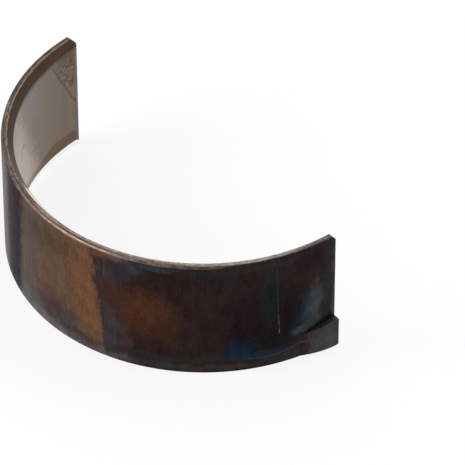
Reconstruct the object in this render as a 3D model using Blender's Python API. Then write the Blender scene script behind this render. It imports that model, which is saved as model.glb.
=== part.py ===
# Half shell of a plain connecting rod bearing, as it lies free on its plain edge.
#
# The shell is one bonded strip: a steel back, a bronze lining on its hollow side and a thin soft
# overlay on that. It is bent to just under a half circle, slightly wider than the bore it goes
# into, with a large chamfer on the edge that faces the crank fillet, a small one on the other
# edge, and a locating tang pushed out of one end at the plain edge.
#
# Units are metres. The axis of the bore is parallel to +Z, the crown of the shell points to -Y,
# and the tang is at the +X end. The origin is under the middle of the shell's bounding box.

import bpy
import bmesh
from math import ceil, cos, pi, radians, sin

# Driving dimensions
HOUSING_BORE = 0.0565        # diameter of the rod's bore, which the back of the shell fills
FREE_SPREAD = 0.00098        # how much wider than the bore the free shell springs open
CRUSH_HEIGHT = 0.00003       # how far each end would stand proud of the joint once seated
SHELL_WIDTH = 0.02           # along the axis, from edge to edge
CROWN_WALL = 0.00175         # steel, lining and overlay together, at the crown
BORE_OFFSET = 0.000015       # the bore's centre lies this far towards the crown, to thin the ends

FILLET_CHAMFER_DEPTH = 0.0008    # into the wall, on the edge beside the crank fillet
FILLET_CHAMFER_HEIGHT = 0.001    # along the axis
PLAIN_CHAMFER_DEPTH = 0.0004     # the same on the plain edge
PLAIN_CHAMFER_HEIGHT = 0.00135
BACK_EDGE_BREAK = 0.00025        # both long edges of the steel back
PARTING_CHAMFER_DEPTH = 0.00018    # into the wall, where the bore meets a parting face
PARTING_CHAMFER_LENGTH = 0.00065   # along the arc
PARTING_EDGE_BREAK = 0.00012     # all round the two parting faces

RELIEF_DEPTH = 0.00003       # the lining is shaved by this much where it meets a parting face
RELIEF_LENGTH = 0.005        # along the arc, from nothing to the full depth

TANG_LENGTH = 0.0058         # along the arc, from its root to the parting face
TANG_RISE = 0.001            # how far it stands out of the back at the parting face
TANG_WIDTH = 0.005           # from the plain edge to the sheared side, at the parting face
TANG_ROOT_WIDTH = 0.0041     # the same where the tang starts
TANG_THINNING = 0.0002       # the pressed metal is thinner than the wall by this much
TANG_EDGE_BREAK = 0.0003     # rolled-over outer edge of the sheared side

# How finely round surfaces are divided
ARC_STEP = radians(1.8)
TANG_STEPS = 10
SMOOTH_ANGLE = radians(15)

# Free shape of the shell, worked out from the bore that it goes into
SEATED_RADIUS = HOUSING_BORE / 2
BACK_RADIUS = SEATED_RADIUS + FREE_SPREAD / 2
HALF_SPAN = (SEATED_RADIUS * pi / 2 + CRUSH_HEIGHT) / BACK_RADIUS
TANG_ROOT = HALF_SPAN - TANG_LENGTH / BACK_RADIUS
RELIEF_SPAN = RELIEF_LENGTH / BACK_RADIUS
PARTING_CHAMFER_SPAN = PARTING_CHAMFER_LENGTH / BACK_RADIUS

# Where the arc's centre lies from the middle of the bounding box
END_HALF_WIDTH = BACK_RADIUS * sin(HALF_SPAN)
TANG_REACH = (BACK_RADIUS + TANG_RISE) * sin(HALF_SPAN)
END_BACK_LINE = (BACK_RADIUS - CROWN_WALL) * cos(HALF_SPAN)
CENTRE_X = -(TANG_REACH - END_HALF_WIDTH) / 2
CENTRE_Y = (BACK_RADIUS + END_BACK_LINE) / 2

# Metals of the shell, in the order of its material slots
STEEL = "steel"
BRONZE = "bronze"
OVERLAY = "overlay"
METALS = (STEEL, BRONZE, OVERLAY)

# Metal of the surface that follows each point of a section, in the order that section() lists them
SECTION_SURFACES = (
    STEEL,      # broken edge of the back, on the plain side
    STEEL,      # back of the tang strip
    STEEL,      # rolled-over edge of the tang
    STEEL,      # sheared side of the tang
    STEEL,      # back of the shell
    STEEL,      # broken edge of the back, on the fillet side
    STEEL,      # fillet-side edge
    BRONZE,     # large chamfer
    OVERLAY,    # running surface
    BRONZE,     # sheared side of the hollow behind the tang
    OVERLAY,    # hollow behind the tang, and running surface beside the plain edge
    BRONZE,     # small chamfer
    STEEL,      # plain edge
)


def clear_scene():
    """Remove every object that the scene holds at the start."""
    for old in list(bpy.data.objects):
        bpy.data.objects.remove(old, do_unlink=True)


def plain_metal(name, colour, roughness, metallic):
    """Make a Principled material of one linear colour."""
    material = bpy.data.materials.new(name)
    material.use_nodes = True
    shader = material.node_tree.nodes["Principled BSDF"]
    shader.inputs["Base Color"].default_value = (*colour, 1.0)
    shader.inputs["Roughness"].default_value = roughness
    shader.inputs["Metallic"].default_value = metallic
    material.diffuse_color = (*colour, 1.0)
    return material


def oxidised_steel():
    """Dark brown steel with a blue cast, as a furnace leaves it."""
    return plain_metal("oxidised steel back", (0.055, 0.038, 0.032), 0.38, 1.0)


def cut_bronze():
    """Golden brown bronze lining, bare where a chamfer cuts it."""
    return plain_metal("cut bronze lining", (0.19, 0.11, 0.045), 0.35, 1.0)


def grey_overlay():
    """Satin grey lead-tin overlay of the running surface."""
    return plain_metal("plated overlay", (0.24, 0.20, 0.17), 0.42, 0.85)


def spread_values(start, end, largest_step):
    """Evenly spaced values from start up to, but not including, end."""
    count = max(1, ceil((end - start) / largest_step - 1e-9))
    return [start + (end - start) * i / count for i in range(count)]


def station_angles():
    """Angles from the crown at which the shell's section is drawn, end to end."""
    relief_starts = (RELIEF_SPAN - HALF_SPAN, HALF_SPAN - RELIEF_SPAN)
    chamfer_starts = (PARTING_CHAMFER_SPAN - HALF_SPAN, HALF_SPAN - PARTING_CHAMFER_SPAN)
    breaks = sorted({-HALF_SPAN, *relief_starts, *chamfer_starts, 0.0, TANG_ROOT, HALF_SPAN})
    angles = []
    for start, end in zip(breaks, breaks[1:]):
        step = TANG_LENGTH / BACK_RADIUS / TANG_STEPS if start >= TANG_ROOT else ARC_STEP
        angles += spread_values(start, end, step)
    return angles + [HALF_SPAN]


def end_share(angle, span):
    """How far into the span beside a parting face an angle lies: 0 before it, 1 at the face."""
    return max(0.0, (abs(angle) - (HALF_SPAN - span)) / span)


def bore_radius(angle):
    """Radius of the running surface: an offset bore, relieved beside the parting faces."""
    wall = CROWN_WALL - BORE_OFFSET * (1 - cos(angle))
    return BACK_RADIUS - wall + RELIEF_DEPTH * end_share(angle, RELIEF_SPAN)


def tang_share(angle):
    """How far along the tang an angle lies: 0 up to its root, 1 at the parting face."""
    return max(0.0, (angle - TANG_ROOT) / (HALF_SPAN - TANG_ROOT))


def section(angle):
    """Outline of the wall at one angle, as (radius, height) points, from the back's plain edge up."""
    along = tang_share(angle)
    pressed = sin(along * pi / 2)
    rise = TANG_RISE * pressed
    roll = TANG_EDGE_BREAK * pressed
    sheared = TANG_ROOT_WIDTH + (TANG_WIDTH - TANG_ROOT_WIDTH) * along
    back = BACK_RADIUS
    bore = bore_radius(angle)
    hollow = bore + rise + TANG_THINNING * pressed

    # The parting chamfer eats into the two long chamfers, so these end nearer to their edges
    cut = PARTING_CHAMFER_DEPTH * end_share(angle, PARTING_CHAMFER_SPAN)
    fillet_height = FILLET_CHAMFER_HEIGHT * (1 - cut / FILLET_CHAMFER_DEPTH)
    plain_height = PLAIN_CHAMFER_HEIGHT * (1 - cut / PLAIN_CHAMFER_DEPTH)
    return [
        (back + rise - BACK_EDGE_BREAK, 0.0),
        (back + rise, BACK_EDGE_BREAK),
        (back + rise, sheared - roll),
        (back + rise - roll, sheared),
        (back, sheared),
        (back, SHELL_WIDTH - BACK_EDGE_BREAK),
        (back - BACK_EDGE_BREAK, SHELL_WIDTH),
        (bore + FILLET_CHAMFER_DEPTH, SHELL_WIDTH),
        (bore + cut, SHELL_WIDTH - fillet_height),
        (bore + cut, sheared),
        (hollow + cut, sheared),
        (hollow + cut, plain_height),
        (hollow + PLAIN_CHAMFER_DEPTH, 0.0),
    ]


def add_ring(mesh, angle):
    """Add one section's vertices. Points that fall together share a vertex."""
    ring = []
    shared = {}
    for radius, height in section(angle):
        key = (round(radius, 9), round(height, 9))
        if key not in shared:
            place = (CENTRE_X + radius * sin(angle), CENTRE_Y - radius * cos(angle), height)
            shared[key] = mesh.verts.new(place)
        ring.append(shared[key])
    return ring


def distinct(corners):
    """The same corners in order, without repeats."""
    return list(dict.fromkeys(corners))


def join_rings(mesh, ring, next_ring):
    """Skin the wall between two neighbouring sections."""
    for i, metal in enumerate(SECTION_SURFACES):
        j = (i + 1) % len(ring)
        corners = distinct([ring[i], next_ring[i], next_ring[j], ring[j]])
        if len(corners) > 2:
            mesh.faces.new(corners).material_index = METALS.index(metal)


def break_parting_edges(mesh, caps):
    """Take the sharpness off the edges round both parting faces."""
    edges = list({edge for cap in caps for edge in cap.edges})
    bmesh.ops.bevel(mesh, geom=edges, offset=PARTING_EDGE_BREAK, offset_type="OFFSET", segments=1,
                    profile=0.5, affect="EDGES", clamp_overlap=True, material=METALS.index(STEEL))


def build_shell():
    """Loft the shell's wall from end to end, close it at the parting faces and name it."""
    mesh = bmesh.new()
    rings = [add_ring(mesh, angle) for angle in station_angles()]
    for ring, next_ring in zip(rings, rings[1:]):
        join_rings(mesh, ring, next_ring)
    caps = [mesh.faces.new(distinct(rings[0])), mesh.faces.new(distinct(reversed(rings[-1])))]
    break_parting_edges(mesh, caps)
    bmesh.ops.recalc_face_normals(mesh, faces=mesh.faces[:])
    data = bpy.data.meshes.new("bearing_shell")
    mesh.to_mesh(data)
    mesh.free()
    for material in (oxidised_steel(), cut_bronze(), grey_overlay()):
        data.materials.append(material)
    data.shade_smooth()
    data.set_sharp_from_angle(angle=SMOOTH_ANGLE)
    shell = bpy.data.objects.new("bearing_shell", data)
    bpy.context.scene.collection.objects.link(shell)
    return shell


def main():
    clear_scene()
    build_shell()


main()
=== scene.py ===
# Looks of a connecting rod's half bearing shell, standing on its plain edge on a pale floor.
#
# One strip of three metals: a steel back that a furnace has tinted, a bronze lining that shows
# where chamfers cut it, and a thin grey plated overlay on the running surface.
# Lengths are metres in the frame and millimetres in the patterns. The shell's axis is parallel to
# +Z, its crown points to -Y and its tang is at the +X end.

from functools import partial
from math import cos, pi, radians, sin

import bmesh
import bpy
from bpy.props import FloatProperty, FloatVectorProperty, IntProperty, PointerProperty
from mathutils import Matrix, Vector


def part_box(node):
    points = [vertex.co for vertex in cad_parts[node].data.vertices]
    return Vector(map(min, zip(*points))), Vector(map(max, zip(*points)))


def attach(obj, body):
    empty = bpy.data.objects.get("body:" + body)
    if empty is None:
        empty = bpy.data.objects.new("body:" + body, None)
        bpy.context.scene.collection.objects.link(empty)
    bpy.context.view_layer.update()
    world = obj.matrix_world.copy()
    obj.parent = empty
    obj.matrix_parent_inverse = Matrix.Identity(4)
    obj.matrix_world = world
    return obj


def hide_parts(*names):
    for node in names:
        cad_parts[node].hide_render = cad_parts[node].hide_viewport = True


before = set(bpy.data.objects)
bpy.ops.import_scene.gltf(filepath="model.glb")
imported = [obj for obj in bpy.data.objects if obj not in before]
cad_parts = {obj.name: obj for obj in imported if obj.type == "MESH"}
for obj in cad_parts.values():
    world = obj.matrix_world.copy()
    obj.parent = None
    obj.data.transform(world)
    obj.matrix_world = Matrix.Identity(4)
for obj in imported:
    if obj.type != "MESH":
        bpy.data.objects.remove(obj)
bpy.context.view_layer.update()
SHELL_LOW, SHELL_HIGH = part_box("bearing_shell")

bl_info = {
    "name": "Half Bearing Shell",
    "version": (1, 0, 0),
    "blender": (4, 5, 0),
    "location": "3D View > Sidebar > Bearing Shell",
    "description": "Builds a heat-tinted half bearing shell, its floor, lights and camera",
    "category": "Object",
}

MM = 0.001
STEADY_SHARE = 0.4    # the tang's strip widens only above this share of its root width
ROUND_STEPS = 6       # faces across a rounded edge

# Surfaces of the wall, in the order of the shell's material slots
BACK = 0
TURNED_EDGE = 1
CHAMFER = 2
LINING = 3
SHEARED_SIDE = 4
PARTING_FACE = 5

# Where the camera stands, in the frame's millimetres and degrees, and its lens
CAMERA_TARGET = (1.751, 18.145, 0.0)
CAMERA_ANGLES = (48.70, 42.26, 0.02)    # azimuth, elevation and roll
CAMERA_DISTANCE = 724.1
CAMERA_LENS = 388.4

# Half a side of the floor, and each light's direction, distance and size, in metres
FLOOR_HALF = 1.5
KEY_LIGHT = ((-0.35, -0.75, 0.6), 0.6, 0.35)
FILL_LIGHT = ((0.5, 0.6, 0.8), 0.7, 0.4)
LIT_PLACE = Vector((0.0, 0.0, 0.01))    # middle of the shell, which both lights face
CARD_GLOW = 0.8    # share of plain white in what the eye sees of the floor
WHITE = (1.0, 1.0, 1.0, 1.0)

SAME_PLACE = 1e-7            # points of the section nearer than this are one corner
MERGED = 1e-6                # points of the wall nearer than this become one
CAP_CORNERS = 8              # a face with more corners than this closes an end
INNER_CREASE = radians(12)   # an edge that turns more than this is sharp
OUTER_CREASE = radians(28)   # the same where both faces are outside ones


def linear(hex_colour):
    """Turn an sRGB hex colour into linear red, green and blue."""
    channels = [int(hex_colour[i:i + 2], 16) / 255 for i in (1, 3, 5)]
    return tuple(c / 12.92 if c <= 0.04045 else ((c + 0.055) / 1.055) ** 2.4 for c in channels)


def label(name):
    """What a user reads for a property's name."""
    return name.replace("_", " ").capitalize()


def length(name, millimetres, description):
    """A length that a user may change."""
    return FloatProperty(name=label(name), description=description, default=millimetres * MM,
                         min=0.0, precision=5, unit="LENGTH")


def tint(name, hex_colour, description):
    """A colour that a user may change."""
    return FloatVectorProperty(name=label(name), description=description, size=3, min=0.0, max=1.0,
                               default=linear(hex_colour), subtype="COLOR")


# Lengths of the shell in millimetres: name, value and what it is
LENGTHS = (
    ("housing_bore", 56.5, "Diameter of the bore that the shell goes into"),
    ("free_spread", 0.98, "How much wider than the bore the free shell stands"),
    ("crush_height", 0.03, "How far each end stands proud once seated"),
    ("shell_width", (SHELL_HIGH.z - SHELL_LOW.z) / MM, "Width along the axis"),
    ("crown_wall", 1.75, "Thickness of the wall at the crown"),
    ("bore_offset", 0.015, "How far the bore's centre lies towards the crown"),
    ("fillet_chamfer_depth", 0.8, "Depth into the wall"),
    ("fillet_chamfer_height", 1.0, "Height along the axis"),
    ("plain_chamfer_depth", 0.4, "Depth into the wall"),
    ("plain_chamfer_height", 1.35, "Height along the axis"),
    ("edge_round", 0.25, "Rounding of the back's two long edges"),
    ("parting_chamfer_depth", 0.18, "Depth into the wall"),
    ("parting_chamfer_length", 0.65, "Length along the arc"),
    ("parting_round", 0.12, "Rounding round the parting faces"),
    ("corner_cut", 0.65, "Height cut off the top edge of each parting face"),
    ("relief_depth", 0.03, "How much the lining is shaved at its ends"),
    ("relief_length", 5.0, "How far the shaved lining runs from an end"),
    ("tang_length", 5.8, "Length of the tang along the back"),
    ("tang_rise", 1.0, "How far the tang stands out of the back"),
    ("tang_width", 5.0, "Width of the tang at the parting face"),
    ("tang_root_width", 4.1, "Width of the tang where it starts"),
    ("tang_thinning", 0.2, "How much thinner the pressed metal is"),
    ("tang_roll", 0.3, "Rolled-over outer edge of the tang's sheared side"),
)


class ShellSizes(bpy.types.PropertyGroup):
    """Sizes of the shell's strip, its chamfers and its tang, and how finely it is drawn."""

    __annotations__ = {name: length(name, value, text) for name, value, text in LENGTHS}
    stations: IntProperty(name="Stations", description="Sections drawn along the shell",
                          default=367, min=41, max=1201)
    end_steps: IntProperty(name="End steps", description="Stations that round each end",
                           default=4, min=1, max=8)
    chamfer_steps: IntProperty(name="Chamfer steps", description="Stations of each parting chamfer",
                               default=3, min=1, max=8)


# Colours that heat, tools and oil left on the metals: name, sRGB value and where it is
TINTS = (
    ("brown_oxide", "#654f3e", "Middle of the back"),
    ("taupe_oxide", "#63524f", "Left of the middle of the back"),
    ("slate_oxide", "#40393b", "Dark band across the back"),
    ("slate_blue", "#383d46", "Cold rims of the back"),
    ("ash", "#5c5250", "Thin pale scale and crease highlight"),
    ("violet", "#3f3338", "Thin scale above the cold rim"),
    ("red_brown", "#573125", "Streaks in the brown field"),
    ("straw_brown", "#6a4a36", "Hot patch of the back"),
    ("bright_straw", "#744f35", "Hottest core of the back"),
    ("plum", "#402e2c", "Border of the straw patch"),
    ("indigo", "#30303a", "Upper border of the straw patch"),
    ("maroon", "#2a1e1c", "Right part of the back"),
    ("red_maroon", "#2b1817", "Warmest part of the right side"),
    ("umber", "#42291e", "Orange-brown patch of the right part"),
    ("amber", "#4a2c1c", "Core of the orange-brown patch"),
    ("olive_brown", "#3c2a19", "Olive edges of the orange-brown patch"),
    ("bottle_green", "#1d2426", "Green-black scale"),
    # Also painted shade: along the tang's shear, in its narrow slot and beside the pressed fold
    ("near_black_scale_and_shade", "#191517", "Darkest scale beside the tang"),
    ("deep_blue", "#172131", "Blue patches at the edges"),
    ("peacock", "#122a3c", "Brightest blue, low on the right"),
    ("ink_blue", "#1f2732", "Blue line above the plain edge, on the right"),
    ("night_grey", "#28282d", "Dark grey line above the plain edge"),
    ("cold_rim", "#363334", "Cold grey along the plain edge"),
    ("pale_rim", "#69686a", "Palest grey along the plain edge"),
    # Painted dark reflection on the last strip; also the cold rim under the top corner
    ("steel_dark_and_reflection", "#28292b", "Last strip before the parting face"),
    # Also painted highlight along the crease above the plain edge
    ("steel_blue_and_crease_highlight", "#333d44", "Grey-blue scale beside the tang"),
    # Also painted highlight where that crease runs onto the tang's strip
    ("pale_scale_and_crease_highlight", "#3f4142", "Thick pale scale on and beside the tang"),
    ("rust_tint", "#4a3129", "Brown flame on the tang"),
    ("rim_brown", "#3a2e28", "Rim along the plain edge"),
    # Painted highlight along the fold pressed into the back
    ("pressed_fold_highlight", "#5f5a58", "Line pressed into the back"),
    # Painted glints of bare grains, and of the pressed fold
    ("bare_grain_glint", "#8a8480", "Grains where scale has come off"),
    ("land_taupe", "#77695e", "Turned top edge"),
    ("land_copper", "#8f7568", "Warm stripe of the top edge"),
    ("land_silver", "#a89d94", "Bare bright stripe of the top edge"),
    ("land_dark", "#4a3e36", "Grooves and stains of the top edge"),
    ("bronze", "#7a5c36", "Bronze lining where a chamfer cuts it"),
    ("tarnish", "#463729", "Tarnished bronze"),
    ("dark_tarnish", "#352b25", "Dark lines where the chamfer meets other faces"),
    # Near white painted on chamfers as their reflection of the white floor
    ("chamfer_floor_reflection", "#fbf8f5", "Bare bright chamfer of the plain edge"),
    ("overlay", "#73665a", "Plated running surface"),
    ("overlay_violet", "#7b6f6d", "Faint violet bloom on the overlay"),
    # Painted light: the overlay drawn lighter where it faces the light
    ("overlay_painted_light", "#b2a59b", "Polished part of the overlay"),
    ("oil_stain", "#5c4431", "Baked oil along the plain edge"),
    ("oil_mark", "#4a3d30", "Dried rims of oil"),
    ("parting_grey", "#66615f", "Parting chamfer"),
    ("bare_steel", "#857a72", "Steel of the broached parting face"),
    ("sheared_steel", "#55574d", "Torn and blued side of the tang"),
    ("thin_scale_gloss", "#cecccc", "Gloss at a grazing angle"),
    ("thick_scale_gloss", "#b0aeb0", "Gloss of the dark band at a grazing angle"),
)


class ShellTints(bpy.types.PropertyGroup):
    """Colours of the shell's metals and of what heat and oil left on them."""

    __annotations__ = {name: tint(name, colour, text) for name, colour, text in TINTS}


class StageSettings(bpy.types.PropertyGroup):
    """Floor, lights and backdrop."""

    floor: tint("floor", "#f4f4f4", "Matt card under the shell")
    key_power: FloatProperty(name="Key power", description="Soft light in front on the left",
                             default=1.6, min=0.0, unit="POWER")
    fill_power: FloatProperty(name="Fill power", description="Soft light behind on the right",
                              default=0.9, min=0.0, unit="POWER")
    surround: FloatProperty(name="Surround", description="Strength of the white surroundings",
                            default=0.75, min=0.0)


class Value:
    """What a socket gives. Python's operators join numbers by maths nodes."""

    def __init__(self, tree, socket):
        self.tree = tree
        self.socket = socket

    def __add__(self, other):
        return maths(self.tree, "ADD", self, other)

    def __sub__(self, other):
        return maths(self.tree, "SUBTRACT", self, other)

    def __rsub__(self, other):
        return maths(self.tree, "SUBTRACT", other, self)

    def __mul__(self, other):
        return maths(self.tree, "MULTIPLY", self, other)

    def __truediv__(self, other):
        return maths(self.tree, "DIVIDE", self, other)


def connect(tree, node, inputs):
    """Set a node's inputs, by name or number, from plain values, nodes, sockets or Values."""
    for key, value in inputs.items():
        if isinstance(value, Value):
            value = value.socket
        if isinstance(value, bpy.types.Node):
            value = value.outputs[0]
        if isinstance(value, bpy.types.NodeSocket):
            tree.links.new(value, node.inputs[key])
        else:
            node.inputs[key].default_value = value


def add(tree, kind, inputs=None, **settings):
    """Add one node with its settings and inputs."""
    node = tree.nodes.new(kind)
    for key, value in settings.items():
        setattr(node, key, value)
    connect(tree, node, inputs or {})
    return node


def maths(tree, operation, *values, clamp=False):
    """Join numbers with one operation."""
    node = add(tree, "ShaderNodeMath", dict(enumerate(values)), operation=operation,
               use_clamp=clamp)
    return Value(tree, node.outputs[0])


def vectors(tree, operation, *values, scale=None):
    """Join vectors with one operation, which gives a vector or a number."""
    inputs = dict(enumerate(values))
    if scale is not None:
        inputs["Scale"] = scale
    outputs = add(tree, "ShaderNodeVectorMath", inputs, operation=operation).outputs
    return outputs["Value" if operation in ("LENGTH", "DISTANCE", "DOT_PRODUCT") else "Vector"]


def split(tree, vector):
    """The three numbers of a vector."""
    outputs = add(tree, "ShaderNodeSeparateXYZ", {0: vector}).outputs
    return {axis: Value(tree, outputs[axis]) for axis in "XYZ"}


def add_sockets(tree, kinds, output):
    """Give a group its named inputs and one output, and return what the inputs give."""
    for name, kind in kinds.items():
        tree.interface.new_socket(name, in_out="INPUT", socket_type="NodeSocket" + kind)
    tree.interface.new_socket(output[0], in_out="OUTPUT", socket_type="NodeSocket" + output[1])
    sockets = tree.nodes.new("NodeGroupInput").outputs
    return {name: Value(tree, sockets[name]) for name in kinds}


# Section of the wall: (radial, height) points in metres, the back at radial 0 and inward negative


def quarter(centre, radius, start):
    """Points of a quarter circle round a centre, from a starting angle in degrees."""
    turns = [radians(start + 90 * i / ROUND_STEPS) for i in range(ROUND_STEPS + 1)]
    return [(centre[0] + radius * cos(a), centre[1] + radius * sin(a)) for a in turns]


def stretched(height, low, high, new_high):
    """Move a height so that low stays and high becomes new_high."""
    if height <= low:
        return height
    return low + (height - low) * (new_high - low) / (high - low)


def section_points(sizes):
    """Outline of the wall as (surface, plain place, press shift, chamfer shift, bore share).

    The plain place is where the wall is whole. The press shift takes it to where the tang is fully
    out, and the chamfer shift to where the parting chamfer is deepest. Neighbouring surfaces each
    have their own point where they meet.
    """
    width = sizes.shell_width
    wall = sizes.crown_wall
    rounding = sizes.edge_round
    root = sizes.tang_root_width
    full = sizes.tang_width
    rise = sizes.tang_rise
    sunk = rise + sizes.tang_thinning
    roll = sizes.tang_roll
    land_end = -(wall - sizes.fillet_chamfer_depth)
    plain_end = -(wall - sizes.plain_chamfer_depth)
    chamfer_foot = width - sizes.fillet_chamfer_height
    plain_top = sizes.plain_chamfer_height
    cut = sizes.parting_chamfer_depth
    foot_up = sizes.fillet_chamfer_height * cut / sizes.fillet_chamfer_depth
    foot_down = plain_top * cut / sizes.plain_chamfer_depth
    points = []

    def strip(surface, place, out, chamfer=(0.0, 0.0), bore=0.0):
        """A point of the strip that is pressed out as the tang."""
        up = stretched(place[1], STEADY_SHARE * root, root, full) - place[1]
        points.append((surface, place, (out, up), chamfer, bore))

    def wall_point(surface, place, chamfer=(0.0, 0.0), bore=0.0):
        """A point of the wall beside the tang."""
        up = max(0.0, 2 - place[1] / root) * (full - root)
        points.append((surface, place, (0.0, up), chamfer, bore))

    for place in quarter((-rounding, rounding), rounding, -90):
        strip(BACK, place, rise)
    for share in (0.02, 0.25, 0.5, 0.75, 0.98):
        strip(BACK, (0.0, rounding + (root - roll - rounding) * share), rise)
    for x, y in quarter((0.0, 0.0), roll, 0):
        shift = (rise - roll + x, full - root)
        points.append((BACK, (0.0, root - roll + y), shift, (0.0, 0.0), 0.0))
    for share in (1.0, 0.96, 0.75, 0.5, 0.25, 0.0):
        shift = ((rise - roll) * share, full - root)
        points.append((SHEARED_SIDE, (0.0, root), shift, (0.0, 0.0), 0.0))
    for share in (0.0, 0.01, 0.12, 0.25, 0.37, 0.5, 0.62, 0.75, 0.87, 0.996):
        wall_point(BACK, (0.0, root + (width - rounding - root) * share))
    for place in quarter((-rounding, width - rounding), rounding, 0):
        wall_point(BACK, place)
    for share in (0.0, 0.06, 0.5, 1.0):
        wall_point(TURNED_EDGE, (-rounding + (land_end + rounding) * share, width), bore=share)
    for share in (0.0, 0.33, 0.67, 1.0):
        place = (land_end + (-wall - land_end) * share, width + (chamfer_foot - width) * share)
        wall_point(CHAMFER, place, (cut * share, foot_up * share), 1.0)
    for share in (0.0, 0.1, 0.2, 0.3, 0.4, 0.5, 0.6, 0.7, 0.8, 0.9, 0.99, 1.0):
        place = (-wall, chamfer_foot + (root - chamfer_foot) * share)
        wall_point(LINING, place, (cut, foot_up * (1 - share)), 1.0)
    for share in (0.0, 0.25, 0.5, 0.75, 1.0):
        points.append((SHEARED_SIDE, (-wall, root), (sunk * share, full - root), (cut, 0.0), 1.0))
    for share in (0.0, 0.03, 0.25, 0.5, 0.75, 1.0):
        place = (-wall, root + (plain_top - root) * share)
        strip(LINING, place, sunk, (cut, -foot_down * share), 1.0)
    for share in (0.0, 0.5, 1.0):
        place = (-wall + (plain_end + wall) * share, plain_top * (1 - share))
        strip(CHAMFER, place, sunk, (cut * (1 - share), -foot_down * (1 - share)), 1.0)
    for share in (0.0, 0.5, 0.94, 1.0):
        place = (plain_end + (-rounding - plain_end) * share, 0.0)
        strip(TURNED_EDGE, place, sunk + (rise - sunk) * share, bore=1.0 - share)
    return points


def inward_steps(places):
    """For each point of a closed outline, the step that moves both its sides in by one metre."""
    distinct = []
    owner = []
    for place in places:
        if not distinct or (Vector(place) - Vector(distinct[-1])).length > SAME_PLACE:
            distinct.append(place)
        owner.append(len(distinct) - 1)
    if (Vector(distinct[0]) - Vector(distinct[-1])).length < SAME_PLACE:
        distinct.pop()
        owner = [i % len(distinct) for i in owner]
    steps = []
    for i, place in enumerate(distinct):
        into = (Vector(place) - Vector(distinct[i - 1])).normalized()
        out = (Vector(distinct[(i + 1) % len(distinct)]) - Vector(place)).normalized()
        normals = Vector((-into.y, into.x)), Vector((-out.y, out.x))
        steps.append((normals[0] + normals[1]) / (1 + normals[0].dot(normals[1])))
    return [steps[i] for i in owner]


def section_mesh(sizes):
    """Closed outline of the wall, with what the wall's rule needs at each point."""
    points = section_points(sizes)
    count = len(points)
    mesh = bpy.data.meshes.new("wall_section")
    mesh.from_pydata([(p[1][0], p[1][1], 0.0) for p in points],
                     [(i, (i + 1) % count) for i in range(count)], [])
    plain_end = [(p[1][0] + p[3][0], p[1][1] + p[3][1]) for p in points]
    tang_end = [(p[1][0] + p[2][0] + p[3][0], p[1][1] + p[2][1] + p[3][1]) for p in points]
    steps = {
        "press_shift": [(*p[2], 0.0) for p in points],
        "chamfer_shift": [(*p[3], 0.0) for p in points],
        "plain_end_step": [(s.x, s.y, 0.0) for s in inward_steps(plain_end)],
        "tang_end_step": [(s.x, s.y, 0.0) for s in inward_steps(tang_end)],
    }
    for name, values in steps.items():
        layer = mesh.attributes.new(name, "FLOAT_VECTOR", "POINT")
        layer.data.foreach_set("vector", [c for value in values for c in value])
    numbers = {"surface_point": [p[0] for p in points], "bore_share": [p[4] for p in points]}
    for name, values in numbers.items():
        layer = mesh.attributes.new(name, "FLOAT", "POINT")
        layer.data.foreach_set("value", [float(v) for v in values])
    return mesh


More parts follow.
